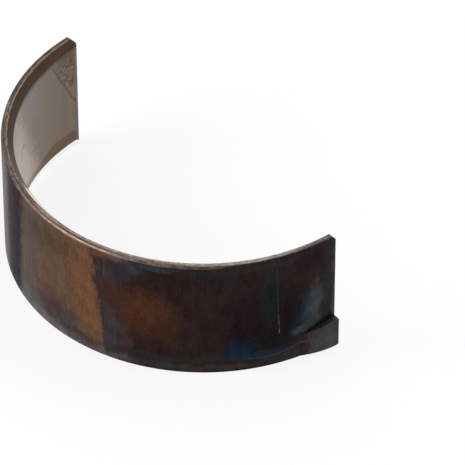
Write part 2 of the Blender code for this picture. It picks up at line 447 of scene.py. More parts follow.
def wall_tree(material_names):
    """Geometry nodes that sweep the section from end to end and press the tang out of it."""
    tree = bpy.data.node_groups.new("Bearing shell wall", "GeometryNodeTree")
    calc = partial(maths, tree)
    numbers = ("Back radius", "Half span", "Shell width", "Tang root", "Parting round",
               "Parting chamfer", "Corner cut", "Bore offset", "Relief depth", "Relief length",
               "Centre X", "Centre Y")
    given = add_sockets(tree, {"Geometry": "Geometry", "Stations": "Int", "End steps": "Int",
                               "Chamfer steps": "Int", **dict.fromkeys(numbers, "Float"),
                               **dict.fromkeys(material_names, "Material")},
                        ("Geometry", "Geometry"))

    def store(geometry, name, value, kind="FLOAT", domain="POINT"):
        """Keep a value on the geometry under a name."""
        return add(tree, "GeometryNodeStoreNamedAttribute",
                   {"Geometry": geometry, "Name": name, "Value": value},
                   data_type=kind, domain=domain)

    def stored(name, kind="FLOAT"):
        """A value kept under a name."""
        node = add(tree, "GeometryNodeInputNamedAttribute", {"Name": name}, data_type=kind)
        return Value(tree, node.outputs[0])

    def from_end(steps, count):
        """Share of a stretch that starts some stations from the nearest end and has so many."""
        return calc("DIVIDE", nearest - steps, count, clamp=True)

    # Straight path with one point for each station, swept with the closed section
    path = add(tree, "GeometryNodeMeshLine", {"Count": given["Stations"], "Offset": (0.0, 0.0, MM)})
    path = store(path, "station", add(tree, "GeometryNodeInputIndex"))
    path = add(tree, "GeometryNodeMeshToCurve", {"Mesh": path})
    outline = store(given["Geometry"], "flat_place", add(tree, "GeometryNodeInputPosition"),
                    "FLOAT_VECTOR")
    outline = add(tree, "GeometryNodeMeshToCurve", {"Mesh": outline})
    shell = add(tree, "GeometryNodeCurveToMesh",
                {"Curve": path, "Profile Curve": outline, "Fill Caps": True})

    # Distance of each station from the nearest end: the rounded edge, the parting chamfer, the rest
    station = stored("station")
    last = given["Stations"] - 1.0
    middle = last * 0.5
    nearest = calc("MINIMUM", station, last - station)
    turn = from_end(0.0, given["End steps"]) * (pi / 2)
    inset = given["Parting round"] * (1.0 - calc("SINE", turn))
    rounded = given["Parting round"] * (1.0 - calc("COSINE", turn))
    chamfer = given["Parting chamfer"] - given["Parting round"]
    half_arc = given["Half span"] * given["Back radius"]
    rest = half_arc - given["Parting chamfer"]
    end_stations = given["End steps"] + given["Chamfer steps"]
    distance = chamfer * from_end(given["End steps"], given["Chamfer steps"]) + rounded
    distance = rest * from_end(end_stations, middle - end_stations) + distance
    side = calc("SIGN", station - middle)
    arc = side * (half_arc - distance)
    angle = arc / given["Back radius"]

    # How far the tang is pressed out at each station
    along = calc("DIVIDE", angle - given["Tang root"], given["Half span"] - given["Tang root"],
                 clamp=True)
    pressed = calc("SINE", along * (pi / 2))
    share = add(tree, "ShaderNodeCombineXYZ", {"X": pressed, "Y": along})
    press = vectors(tree, "MULTIPLY", stored("press_shift", "FLOAT_VECTOR"), share)
    chamfered = calc("SUBTRACT", 1.0, distance / given["Parting chamfer"], clamp=True)
    chamfer = vectors(tree, "SCALE", stored("chamfer_shift", "FLOAT_VECTOR"), scale=chamfered)
    end_step = add(tree, "ShaderNodeMix",
                   {0: calc("GREATER_THAN", side, 0.0), 4: stored("plain_end_step", "FLOAT_VECTOR"),
                    5: stored("tang_end_step", "FLOAT_VECTOR")}, data_type="VECTOR")
    end_shift = vectors(tree, "SCALE", end_step.outputs[1], scale=inset)
    flat = stored("flat_place", "FLOAT_VECTOR")
    moved = flat
    for shift in (press, chamfer, end_shift):
        moved = vectors(tree, "ADD", moved, shift)
    moved = split(tree, moved)

    # The top edge is cut off slantwise beside each parting face
    level = calc("MINIMUM", moved["Y"], given["Shell width"] - given["Corner cut"] * chamfered)

    # The bore is offset towards the crown and shaved beside the parting faces
    relieved = calc("SUBTRACT", 1.0, distance / given["Relief length"], clamp=True)
    thinner = given["Bore offset"] * (1.0 - calc("COSINE", angle))
    thinner = given["Relief depth"] * relieved + thinner
    radius = stored("bore_share") * thinner + (given["Back radius"] + moved["X"])

    # Wrap the straight sweep round the shell's axis
    across = radius * calc("SINE", angle) + given["Centre X"]
    back_to_front = given["Centre Y"] - radius * calc("COSINE", angle)
    wrapped = add(tree, "ShaderNodeCombineXYZ", {"X": across, "Y": back_to_front, "Z": level})

    # What the finishes read: millimetres along the back, above the plain edge and below the back
    shell = store(shell, "arc_mm", arc * (1 / MM))
    shell = store(shell, "height_mm", level * (1 / MM))
    shell = store(shell, "depth_mm", split(tree, flat)["X"] * (-1 / MM))

    # Each face belongs to one surface. Where it closes an end, it is a parting face.
    corners = add(tree, "GeometryNodeInputMeshFaceNeighbors").outputs["Vertex Count"]
    kind = calc("GREATER_THAN", corners, CAP_CORNERS) * PARTING_FACE + stored("surface_point")
    shell = store(shell, "surface_kind", calc("MINIMUM", kind, float(PARTING_FACE)), domain="FACE")
    shell = add(tree, "GeometryNodeSetPosition", {"Geometry": shell, "Position": wrapped})
    shell = add(tree, "GeometryNodeFlipFaces", {"Mesh": shell})
    shell = add(tree, "GeometryNodeMergeByDistance", {"Geometry": shell, "Distance": MERGED})
    kind = stored("surface_kind")
    is_round = calc("LESS_THAN", kind, PARTING_FACE - 0.5)
    shell = add(tree, "GeometryNodeSetShadeSmooth", {"Geometry": shell, "Shade Smooth": is_round})
    shell = add(tree, "GeometryNodeRealizeInstances", {"Geometry": shell})
    for surface, name in enumerate(material_names):
        chosen = calc("COMPARE", kind, float(surface), 0.4)
        shell = add(tree, "GeometryNodeSetMaterial",
                    {"Geometry": shell, "Selection": chosen, "Material": given[name]})
    add(tree, "NodeGroupOutput", {"Geometry": shell})
    return tree


def shell_mesh(sizes, materials):
    """Run the wall's nodes on its section and keep the result as a plain mesh."""
    seated_radius = sizes.housing_bore / 2
    back_radius = seated_radius + sizes.free_spread / 2
    half_span = (seated_radius * pi / 2 + sizes.crush_height) / back_radius
    names = [material.name for material in materials]
    plain = ("stations", "end_steps", "chamfer_steps", "shell_width", "parting_round",
             "corner_cut", "bore_offset", "relief_depth", "relief_length")
    values = {
        **{label(name): getattr(sizes, name) for name in plain},
        "Back radius": back_radius,
        "Half span": half_span,
        "Tang root": half_span - sizes.tang_length / back_radius,
        "Parting chamfer": sizes.parting_chamfer_length,
        "Centre X": -sizes.tang_rise * sin(half_span) / 2,
        "Centre Y": (back_radius + (back_radius - sizes.crown_wall) * cos(half_span)) / 2,
        **dict(zip(names, materials)),
    }
    host = bpy.data.objects.new("wall_section", section_mesh(sizes))
    bpy.context.scene.collection.objects.link(host)
    tree = wall_tree(names)
    modifier = host.modifiers.new("Wall", "NODES")
    modifier.node_group = tree
    for item in tree.interface.items_tree:
        if item.in_out == "INPUT" and item.name in values:
            modifier[item.identifier] = values[item.name]
    host.data.update()
    evaluated = host.evaluated_get(bpy.context.evaluated_depsgraph_get())
    mesh = bpy.data.meshes.new_from_object(evaluated)
    host.modifiers.remove(modifier)
    section = host.data
    bpy.data.objects.remove(host)
    bpy.data.meshes.remove(section)
    return mesh


def mark_creases(mesh):
    """Make edges sharp where surfaces meet at an angle. Rolled edges of the back stay smooth."""
    shape = bmesh.new()
    shape.from_mesh(mesh)
    for edge in shape.edges:
        outside = all(face.material_index in (BACK, TURNED_EDGE) for face in edge.link_faces)
        edge.smooth = edge.calc_face_angle(0.0) < (OUTER_CREASE if outside else INNER_CREASE)
    shape.to_mesh(mesh)
    shape.free()


# Where finishes change, in millimetres
TOP_CORNER = (19.6, 19.8)         # heights over which the rubbed top corner begins
LOW_CHAMFER = 3.0                 # height below which a chamfer is the plain edge's
PARTING_CHAMFER = (43.7, 43.8)    # arc over which the parting chamfer begins
PARTING_EDGE = (43.98, 44.15)     # arc over which it turns dark
# Over this arc the painted shade of the tang's narrow slot gives way to the sheared side's steel
SLOT_SHADE_FADE = (39.4, 41.0)        # arc over which the sheared side turns blue
STEEL_DEPTH = (1.3, 1.36)         # depth over which steel gives way to bronze

# Finishes. Patterns read the shell's own measures in millimetres, so each is placed as on the
# metal.
#
# A spot is an oval of one tint: tint, middle along the arc, middle height, half length along the
# arc, half height, softness of its edge, share, and its lean if it has one (millimetres along the
# arc for each one up).
# On the turned edge and the chamfer, depth below the back takes the place of height.
# A line is a thin stroke: tint, points as (arc, height), width, share.

# The back's whole middle, under all the rest
BROWN_FIELD = ("brown_oxide", 6, 10, 22, 400, 2.0, 1.0)

# Keep these at 58 or fewer: with 63 the renderer draws the whole back black, without a message
HEAT_SPOTS = (
    # Grazed rim on the far left, the cold band and the taupe field beside it
    ("ash", -15.0, 10, 3.2, 40, 1.2, 0.8),
    ("slate_oxide", -10.6, 10, 2.4, 60, 1.4, 1.0),
    ("slate_oxide", -9.7, 10, 2.2, 60, 1.2, 1.0, 0.09),
    ("slate_blue", -9.6, 3.6, 3.2, 4.0, 1.6, 0.4),
    ("taupe_oxide", -5.3, 10, 1.3, 60, 1.2, 0.9, 0.09),
    ("taupe_oxide", -4.2, 12, 1.5, 60, 1.2, 0.5, 0.05),
    ("maroon", -1.0, 16.5, 5.6, 1.8, 1.0, 0.33),
    ("plum", 0.8, 6.7, 3.4, 1.1, 0.7, 0.28),
    ("slate_blue", -2.4, 3.3, 3.4, 1.7, 0.9, 0.33),

    # Brown, red streaks and straw, where the furnace was hottest
    ("red_brown", 3.5, 16.8, 0.45, 2.4, 0.3, 0.6),
    ("straw_brown", 6.9, 9.5, 2.7, 11, 1.3, 0.7, -0.05),
    ("straw_brown", 7.4, 16.5, 1.5, 4, 0.9, 0.6, -0.1),
    ("bright_straw", 7.2, 10.2, 1.6, 4.6, 1.1, 0.7, -0.08),

    # The dark right part starts at a ragged, leaning edge
    ("maroon", 49.2, 10, 40, 400, 0.45, 1.0, -0.13),
    ("plum", 11.4, 9, 2.2, 13, 0.7, 0.9, -0.125),
    ("indigo", 12.2, 16.8, 2.9, 1.9, 0.8, 0.6),
    ("slate_blue", 11.2, 4.6, 1.2, 4.2, 0.8, 0.45, -0.05),
    ("slate_blue", 14.3, 18.3, 1.6, 0.8, 0.6, 0.6),
    ("straw_brown", 9.3, 19.2, 2.2, 0.7, 0.4, 0.7),
    ("taupe_oxide", 12.0, 19.2, 1.6, 0.6, 0.4, 0.5),
    ("umber", 13.6, 13.2, 3.6, 1.5, 0.8, 0.6),
    ("umber", 16.2, 10.4, 4.1, 4.1, 1.5, 0.88),
    ("amber", 16.0, 11.0, 1.9, 2.8, 1.2, 0.7),
    ("olive_brown", 19.8, 8.6, 1.6, 3.2, 0.9, 0.6),
    ("bottle_green", 24.9, 18, 1.9, 0.9, 0.6, 0.5),

    # Nearly black towards the right, with a dark red core
    ("near_black_scale_and_shade", 33.0, 8.0, 5.6, 6.6, 1.6, 0.95),
    ("red_maroon", 30.4, 10.4, 1.7, 3.6, 0.9, 0.3),
    ("bottle_green", 28.4, 16.6, 1.3, 1.8, 0.7, 0.5),
    ("bottle_green", 34.0, 13, 1.6, 5.5, 0.9, 0.45),

    # Cold rim under the top corner
    ("slate_blue", 17.4, 19.2, 3.4, 0.5, 0.35, 0.75),
    ("steel_dark_and_reflection", 33.0, 19.2, 12.0, 0.6, 0.4, 0.75),

    # Cold and thin scale along the plain edge
    ("deep_blue", 29.5, 3.6, 2.7, 1.9, 0.8, 0.85),
    ("peacock", 29.9, 2.9, 1.4, 0.7, 0.5, 0.7),
    ("night_grey", 17.8, 2.3, 6.0, 0.8, 0.4, 0.8),
    ("ink_blue", 33.2, 2.2, 5.2, 0.8, 0.4, 0.85),
    ("cold_rim", 16, 0.9, 11.5, 0.65, 0.35, 0.75),
    ("rim_brown", 26.5, 1.0, 5.0, 0.6, 0.25, 0.7),
    ("cold_rim", 36, 1.0, 4.0, 0.7, 0.4, 0.5),
    ("violet", 1.8, 4.5, 3.8, 1.3, 0.9, 0.75),
    ("slate_blue", 1.9, 2.7, 3.6, 0.9, 0.7, 0.75),
    ("rim_brown", 6.6, 2.1, 3.2, 0.6, 0.5, 0.7),
    ("pale_rim", -5.2, 2.3, 2.6, 1.2, 0.9, 0.5),
    ("pale_rim", -2.8, 0.8, 6.4, 0.9, 0.6, 0.85),
    ("pale_rim", 8.2, 0.7, 5.0, 0.7, 0.4, 0.4),
    ("slate_blue", 5.6, 1.5, 2.8, 1.2, 0.5, 0.38),
    ("night_grey", 25.0, 2.6, 2.4, 0.8, 0.4, 0.6),

    # Beside and above the tang
    ("near_black_scale_and_shade", 40.0, 17.6, 3.0, 2.4, 0.8, 0.4),
    ("near_black_scale_and_shade", 37.2, 9.0, 1.4, 4.2, 0.7, 0.7),
    ("steel_blue_and_crease_highlight", 40.5, 8.8, 1.5, 3.8, 0.9, 0.85, 0.06),
    ("peacock", 39.8, 8.2, 0.8, 2.0, 0.6, 0.4, 0.1),
    ("pale_scale_and_crease_highlight", 41.3, 9.0, 0.9, 3.4, 0.7, 0.6, 0.04),
    ("steel_blue_and_crease_highlight", 38.4, 5.4, 1.1, 0.7, 0.4, 0.8),
    # Painted dark reflection on the last strip before the parting face
    ("steel_dark_and_reflection", 43.6, 11, 1.5, 12, 0.6, 0.8),
    ("overlay_violet", 44.35, 13, 0.35, 30, 0.25, 0.15),

    # The pressed strip of the tang
    ("pale_scale_and_crease_highlight", 42.9, 2.0, 3.2, 2.6, 0.8, 0.9),
    ("rust_tint", 40.8, 3.4, 1.4, 0.55, 0.3, 0.32, 0.4),
)

# Where the scale is thick it stays dark even at a grazing angle
GLOSS_SPOTS = (
    ("thick_scale_gloss", -10.7, 10, 2.2, 400, 1.4, 1.0),
    ("thick_scale_gloss", -9.7, 10, 2.2, 400, 1.2, 1.0, 0.09),
)

HEAT_LINES = (
    # Painted highlight on the crease that the press tool left above the plain edge and on the tang
    ("steel_blue_and_crease_highlight", ((30.7, 2.2), (32.9, 1.9), (35.1, 2.0), (37.0, 2.3), (38.7, 2.9)), 0.24, 0.7),
    ("pale_scale_and_crease_highlight", ((38.7, 2.9), (40.2, 2.6), (41.6, 2.1), (43.0, 1.7)), 0.22, 0.6),
    ("deep_blue", ((37.0, 5.6), (37.8, 6.8), (38.7, 8.6), (39.2, 10.6), (39.6, 12.2)), 0.8, 0.6),
    # The fold pressed into the back: painted shade on its left, painted highlight and a glint along
    # it
    ("near_black_scale_and_shade", ((34.8, 15.8), (34.85, 9.0), (35.05, 5.9)), 0.24, 0.6),
    ("pressed_fold_highlight", ((34.85, 18.1), (35.0, 12.0), (35.2, 7.4)), 0.14, 0.17),
    ("pressed_fold_highlight", ((35.12, 9.6), (35.3, 5.8)), 0.14, 0.4),
    ("bare_grain_glint", ((35.2, 7.0), (35.3, 5.9)), 0.11, 0.2),
    # Painted shadow in the gap along the tang's sheared edge
    ("near_black_scale_and_shade", ((39.8, 4.5), (41.2, 4.75), (42.8, 4.98), (44.2, 5.15)), 0.15, 0.6),
    ("ash", ((10.1, 18.4), (10.1, 15.4)), 0.16, 0.45),
    ("ash", ((-10.6, 9.1), (-9.7, 7.6)), 0.2, 0.35),
)

RUBBED_SPOTS = (
    ("land_taupe", -18, 19.98, 14, 0.28, 0.08, 0.5),
    ("land_copper", 6.2, 19.86, 9.6, 0.2, 0.08, 0.85),
    ("land_copper", -5.6, 19.93, 3.6, 0.12, 0.08, 0.45),
    ("land_copper", 18.0, 19.86, 2.0, 0.2, 0.08, 0.4),
    ("land_taupe", 22.5, 19.95, 5, 0.24, 0.08, 0.45),
)

LAND_SPOTS = (
    ("land_dark", -33, 0.36, 13, 0.1, 0.05, 0.7),
    ("land_silver", -30, 0.78, 26, 0.07, 0.04, 0.5),
    ("land_copper", 6.0, 0.26, 13.5, 0.1, 0.05, 0.95),
    ("land_copper", 7.0, 0.6, 6.0, 0.08, 0.05, 0.5),
    ("land_silver", 22.0, 0.72, 22, 0.2, 0.06, 0.75),
    ("land_silver", -1.0, 0.62, 3.0, 0.16, 0.05, 0.6),
    ("land_silver", 30.0, 0.46, 7.0, 0.1, 0.06, 0.6),
    ("land_dark", -7.0, 0.42, 3.0, 0.09, 0.04, 0.8),
    ("land_dark", 6.5, 0.4, 6.5, 0.09, 0.04, 0.9),
    ("land_dark", 16.0, 0.6, 4.0, 0.08, 0.05, 0.6),
    ("land_dark", 41, 0.55, 2.6, 0.12, 0.05, 0.6),
    ("land_silver", -25.5, 0.3, 2.4, 0.12, 0.05, 0.4),
    ("land_silver", -9.5, 0.25, 5.5, 0.09, 0.05, 0.35),
    ("land_silver", 15.2, 0.3, 1.6, 0.12, 0.05, 0.45),
    ("land_dark", 7.2, 0.3, 1.6, 0.12, 0.05, 0.7),
    ("parting_grey", 42.4, 0.65, 3.4, 0.4, 0.2, 0.65),
)

CHAMFER_SPOTS = (
    ("tarnish", -32, 1.2, 22, 3, 2.5, 1.0),
    ("dark_tarnish", -15.6, 1.3, 7.0, 3, 1.8, 0.75),
    ("dark_tarnish", -18, 1.0, 27, 0.07, 0.04, 0.7),
    ("dark_tarnish", -18, 1.7, 27, 0.08, 0.05, 0.8),
    ("dark_tarnish", -43.0, 1.3, 2.2, 1.0, 0.6, 0.6),
    ("olive_brown", -37.5, 1.35, 2.6, 0.25, 0.1, 0.4),
    # Painted reflection of the white floor on the chamfers near the crown
    ("chamfer_floor_reflection", -3.7, 1.35, 4.2, 3, 0.9, 1.0),
    ("overlay", 10, 1.56, 34, 0.03, 0.02, 0.6),
    ("dark_tarnish", 10, 1.68, 34, 0.08, 0.03, 0.8),
)

OVERLAY_SPOTS = (
    ("overlay_violet", -30.8, 15.0, 4.6, 3.5, 1.6, 0.7),
    # Painted light where the lining faces the light
    ("overlay_painted_light", -22.8, 12, 6.5, 30, 3.0, 0.95, 0.45),
    ("oil_mark", -41.4, 8.5, 0.5, 5.0, 0.4, 0.12),
    ("oil_mark", -42.2, 18.2, 2.4, 1.4, 0.7, 0.45),
    ("oil_stain", -43.9, 10, 0.5, 30, 0.5, 0.35),
    ("oil_stain", -39.6, 2.4, 4.8, 1.0, 0.5, 0.85),
    ("oil_stain", -31.5, 1.9, 8.0, 0.75, 0.5, 0.6),
    ("bronze", -40.2, 2.8, 2.2, 0.6, 0.4, 0.3),
    ("dark_tarnish", -32.5, 18.95, 11, 0.6, 0.3, 0.9),
    ("oil_stain", 30, 1.6, 14, 0.6, 0.4, 0.5),
    ("overlay_violet", 12, 9, 9, 5, 3.0, 0.4),
)

OVERLAY_LINES = (
    ("oil_mark", ((-38.6, 18.3), (-40.1, 15.5), (-41.7, 12.5), (-42.9, 10.2), (-43.8, 8.8)),
     0.24, 0.8),
    ("oil_mark", ((-43.2, 17.0), (-41.9, 16.4), (-41.6, 15.2), (-42.2, 14.2), (-43.4, 14.0)),
     0.2, 0.6),
    ("oil_mark", ((-43.3, 13.0), (-42.8, 13.3), (-42.4, 12.8), (-42.9, 12.3), (-43.3, 12.7)),
     0.16, 0.7),
    ("oil_mark", ((-43.0, 3.3), (-39.0, 3.4), (-36.2, 2.8)), 0.35, 0.45),
    ("oil_mark", ((-29.3, 10.2), (-28.6, 10.7), (-28.0, 10.4), (-27.6, 9.7), (-27.3, 8.8)),
     0.38, 0.48),
)

# Film of oil at the lining's top corner, whose share is drawn as a net
OIL_FILM = {"arc": -42.0, "height": 15.6, "half_arc": 2.3, "half_height": 3.2, "softness": 0.5,
            "lean": 0.25}


def cover_group(name, inputs, rule):
    """Node group, made once, for how much of a place a rule covers, from its worn edge inwards."""
    if name in bpy.data.node_groups:
        return bpy.data.node_groups[name]
    tree = bpy.data.node_groups.new(name, "ShaderNodeTree")
    given = add_sockets(tree, inputs, ("Cover", "Float"))
    value, nothing, full = rule(tree, given)
    cover = add(tree, "ShaderNodeMapRange",
                {"Value": value, "From Min": nothing, "From Max": full},
                interpolation_type="SMOOTHSTEP")
    add(tree, "NodeGroupOutput", {"Cover": given["Share"] * cover})
    return tree


def spot_rule(tree, given):
    """Millimetres inside an oval. Grit eats into its soft edge."""
    away = split(tree, vectors(tree, "SUBTRACT", given["Place"], given["Middle"]))
    along = away["X"] - given["Lean"] * away["Y"]
    upright = add(tree, "ShaderNodeCombineXYZ", {"X": along, "Y": away["Y"]})
    share = vectors(tree, "LENGTH", vectors(tree, "DIVIDE", upright, given["Half size"]))
    half = split(tree, given["Half size"])
    inside = maths(tree, "SUBTRACT", 1.0, share) * maths(tree, "MINIMUM", half["X"], half["Y"])
    value = maths(tree, "MULTIPLY_ADD", given["Grit"], given["Softness"], inside)
    return value, given["Softness"] * -1.0, given["Softness"]


def stroke_rule(tree, given):
    """Millimetres beside the straight stroke between two places, made uneven by grit."""
    flat = vectors(tree, "MULTIPLY", given["Place"], (1.0, 1.0, 0.0))
    along = vectors(tree, "SUBTRACT", given["To"], given["From"])
    across = vectors(tree, "SUBTRACT", flat, given["From"])
    reach = vectors(tree, "DOT_PRODUCT", across, along)
    whole = vectors(tree, "DOT_PRODUCT", along, along)
    share = maths(tree, "DIVIDE", reach, whole, clamp=True)
    gap = vectors(tree, "DISTANCE", across, vectors(tree, "SCALE", along, scale=share))
    return maths(tree, "MULTIPLY_ADD", given["Grit"], given["Width"], gap), given["Width"], 0.0


SPOT_INPUTS = {"Place": "Vector", "Grit": "Float", "Middle": "Vector", "Half size": "Vector",
               "Lean": "Float", "Softness": "Float", "Share": "Float"}
STROKE_INPUTS = {"Place": "Vector", "Grit": "Float", "From": "Vector", "To": "Vector",
                 "Width": "Float", "Share": "Float"}


def spread(tree, value, low, high, start=0.3, end=0.7):
    """A value from start to end turned into one from low to high."""
    return add(tree, "ShaderNodeMapRange", {"Value": value, "From Min": start, "From Max": end,
                                            "To Min": low, "To Max": high})


class Finish:
    """A metal's material while its coat is laid on, one layer over another.

    Sizes and places are millimetres along the arc, up the axis and into the wall. On an edge face,
    depth takes the place of height.
    """

    def __init__(self, name, tints, edge=False):
        self.material = bpy.data.materials.new(name)
        self.material.use_nodes = True
        self.tree = self.material.node_tree
        self.tints = tints
        self.coat = None
        self.grit = None
        self.arc, self.height, self.depth = (
            add(self.tree, "ShaderNodeAttribute", attribute_name=measure).outputs["Fac"]
            for measure in ("arc_mm", "height_mm", "depth_mm"))
        self.whole = self.together(self.arc, self.height, self.depth)
        self.place = self.together(self.arc, self.depth, 0.0) if edge else self.whole

    def together(self, x, y, z):
        """Three numbers as one place."""
        return add(self.tree, "ShaderNodeCombineXYZ", {"X": x, "Y": y, "Z": z}).outputs[0]

    def noise(self, size, detail=3.0, roughness=0.5, place=None):
        """Noise whose grains are as large as size."""
        drawn = vectors(self.tree, "MULTIPLY", place or self.place, tuple(1 / s for s in size))
        return add(self.tree, "ShaderNodeTexNoise",
                   {"Vector": drawn, "Scale": 1.0, "Detail": detail, "Roughness": roughness})

    def wander(self, low, high, size, detail=3.0, roughness=0.5, start=0.3, end=0.7, place=None):
        """A number that wanders from low to high, as noise goes from start to end."""
        return spread(self.tree, self.noise(size, detail, roughness, place), low, high, start, end)

    def pushed(self, size, reach, place=None):
        """A place pushed about by up to half of reach, so that what is drawn there wanders."""
        noise = self.noise((size, size, size), place=place).outputs["Color"]
        centred = vectors(self.tree, "SUBTRACT", noise, (0.5, 0.5, 0.5))
        return vectors(self.tree, "MULTIPLY_ADD", centred, (reach, reach, 0.0),
                       place or self.place)

    def wear(self, size, detail=3.0, roughness=0.5, gain=1.0):
        """Choose the noise about nothing that eats into the edges of spots and lines."""
        noise = maths(self.tree, "ADD", self.noise(size, detail, roughness), -0.5)
        self.grit = maths(self.tree, "MULTIPLY", noise, gain)

    def over(self, below, above, cover):
        """One colour over another, where cover is above nothing. A name stands for its tint."""
        below, above = (((*getattr(self.tints, side), 1.0) if isinstance(side, str) else side)
                        for side in (below, above))
        return add(self.tree, "ShaderNodeMix", {0: cover, 6: below, 7: above},
                   data_type="RGBA").outputs[2]

    def spot(self, place, arc, height, half_arc, half_height, softness, share, lean=0.0):
        """How much of a place one spot covers."""
        return add(self.tree, "ShaderNodeGroup",
                   {"Place": place, "Grit": self.grit, "Middle": (arc, height, 0.0),
                    "Half size": (half_arc, half_height, 1.0), "Lean": lean,
                    "Softness": softness, "Share": share},
                   node_tree=cover_group("Spot", SPOT_INPUTS, spot_rule))

    def with_spots(self, colour, spots, place=None):
        """A colour with spots laid over it, one after another."""
        for name, *shape in spots:
            colour = self.over(colour, name, self.spot(place or self.place, *shape))
        return colour

    def lay_spots(self, spots, place=None):
        """Lay spots over the coat."""
        self.coat = self.with_spots(self.coat, spots, place)

    def lay_lines(self, lines, place):
        """Lay thin lines over the coat, one after another."""
        for name, points, width, share in lines:
            for start, end in zip(points, points[1:]):
                cover = add(self.tree, "ShaderNodeGroup",
                            {"Place": place, "Grit": self.grit, "From": (*start, 0.0),
                             "To": (*end, 0.0), "Width": width, "Share": share},
                            node_tree=cover_group("Stroke", STROKE_INPUTS, stroke_rule))
                self.lay(name, cover)

    def lay(self, name, cover):
        """Lay one tint over the coat."""
        self.coat = self.over(self.coat, name, cover)

    def vary(self, strength, *noise):
        """Let the coat's three channels each wander by a share of themselves."""
        factor = vectors(self.tree, "MULTIPLY_ADD", self.noise(*noise).outputs["Color"],
                         (strength,) * 3, (1.0 - strength / 2,) * 3)
        self.coat = vectors(self.tree, "MULTIPLY", self.coat, factor)

    def brighten(self, factor):
        """Make the coat brighter or darker by a factor that changes over the surface."""
        self.coat = vectors(self.tree, "SCALE", self.coat, scale=factor)

    def done(self, roughness, edge_tint, relief=None, relief_mm=0.01):
        """Set colour, gloss, grazing brightness and fine relief, and give the material."""
        shader = self.tree.nodes["Principled BSDF"]
        connect(self.tree, shader, {"Base Color": self.coat, "Metallic": 1.0,
                                    "Roughness": roughness, "Specular Tint": edge_tint})
        if relief is not None:
            bump = add(self.tree, "ShaderNodeBump", {"Strength": 0.3, "Distance": relief_mm * MM,
                                                     "Height": relief})
            connect(self.tree, shader, {"Normal": bump})
        return self.material


def heat_tinted_steel(tints):
    """Cold-rolled steel back, tinted in a furnace: brown, plum and blue scale, upright grain, and
    painted light and shade at its creases and beside the tang.
    """
    steel = Finish("heat-tinted cold-rolled steel", tints)
    steel.wear((0.35, 1.1, 1.0), 4.0, 0.65, gain=3.0)

    # Shaded half first, in clouds of two coats, then the spots of the half that the light shows
    clouds = steel.wander(0.1, 0.9, (11, 24, 11), 2.0, 0.5, 0.35, 0.7)
    steel.coat = steel.over("slate_oxide", "brown_oxide", clouds)
    steel.lay_spots((BROWN_FIELD,))
    steel.lay_spots(HEAT_SPOTS, steel.pushed(0.7, 0.7, steel.pushed(3.0, 2.4)))

    # Mottling of the scale, and the upright grain of the strip drawn coarse enough to show
    steel.vary(1.0, (0.32, 0.42, 0.4), 3.0, 0.7)
    steel.vary(0.35, (1.3, 2.4, 1.3), 3.0, 0.6)
    steel.brighten(steel.wander(0.8, 1.2, (1.6, 3.2, 1.6), 3.0, 0.6))
    grain = steel.wander(0.83, 1.17, (0.26, 2.6, 0.26), 4.0, 0.7)
    steel.brighten(grain)
    # Lines of scale, and painted shade and highlights along the creases and the tang's shear
    steel.lay_lines(HEAT_LINES, steel.pushed(1.6, 0.22))

    # Handling has rubbed the top corner bare and uneven
    steel.lay_spots(RUBBED_SPOTS)
    uneven = steel.wander(-0.28, 0.28, (1.0, 0.3, 0.3), 2.0, 0.5, 0.35, 0.65)
    corner = spread(steel.tree, steel.height, 0.0, 1.0, *TOP_CORNER)
    steel.brighten(maths(steel.tree, "MULTIPLY_ADD", uneven, corner, 1.0))

    # Tiny glints stand for grains too fine to show
    steel.lay("bare_grain_glint", steel.wander(0.0, 0.35, (0.16, 0.22, 0.2), 1.0, 0.5, 0.7, 0.8))
    gloss = steel.with_spots("thin_scale_gloss", GLOSS_SPOTS)
    return steel.done(steel.wander(0.3, 0.4, (0.5, 6.0, 0.5)), gloss, grain)


def turned_steel(tints):
    """Edge turned on a lathe and rubbed in handling: fine rings, warm outside and bare inside."""
    steel = Finish("turned steel edge", tints, edge=True)
    steel.wear((0.35, 0.12, 1.0), 4.0, 0.7, gain=3.0)

    # Rings, drawn coarser than the tool's own feed so that they show
    rings = steel.noise((1.6, 0.09, 1.0), 4.0, 0.65)
    steel.coat = steel.over("land_dark", "land_taupe",
                            spread(steel.tree, rings, 0.0, 1.0, 0.38, 0.6))
    steel.lay_spots(LAND_SPOTS, steel.pushed(1.5, 0.06))
    steel.vary(0.5, (0.6, 0.3, 1.0), 2.0)
    steel.brighten(steel.wander(0.65, 1.35, (0.8, 0.28, 1.0), 2.0, 0.7, 0.36, 0.64))
    return steel.done(0.32, (0.9, 0.88, 0.86, 1.0), rings, 0.004)


def turned_bronze(tints):
    """Bronze lining laid bare by a chamfer tool: golden brown, tarnished beside the overlay."""
    bronze = Finish("turned bronze", tints, edge=True)
    bronze.wear((0.8, 0.15, 1.0))
    tarnished = bronze.wander(0.0, 0.5, (3, 3, 3), place=bronze.whole)
    bronze.coat = bronze.over("bronze", "tarnish", tarnished)
    bronze.lay_spots(CHAMFER_SPOTS)
    bronze.vary(0.4, (0.9, 0.3, 1.0))

    # The small chamfer on the plain edge is bare, and painted near white as a reflection of the
    # white floor
    low = maths(bronze.tree, "LESS_THAN", bronze.height, LOW_CHAMFER)
    bronze.lay("chamfer_floor_reflection", low)
    return bronze.done(0.34, bronze.over((0.8, 0.78, 0.75, 1.0), WHITE, low))


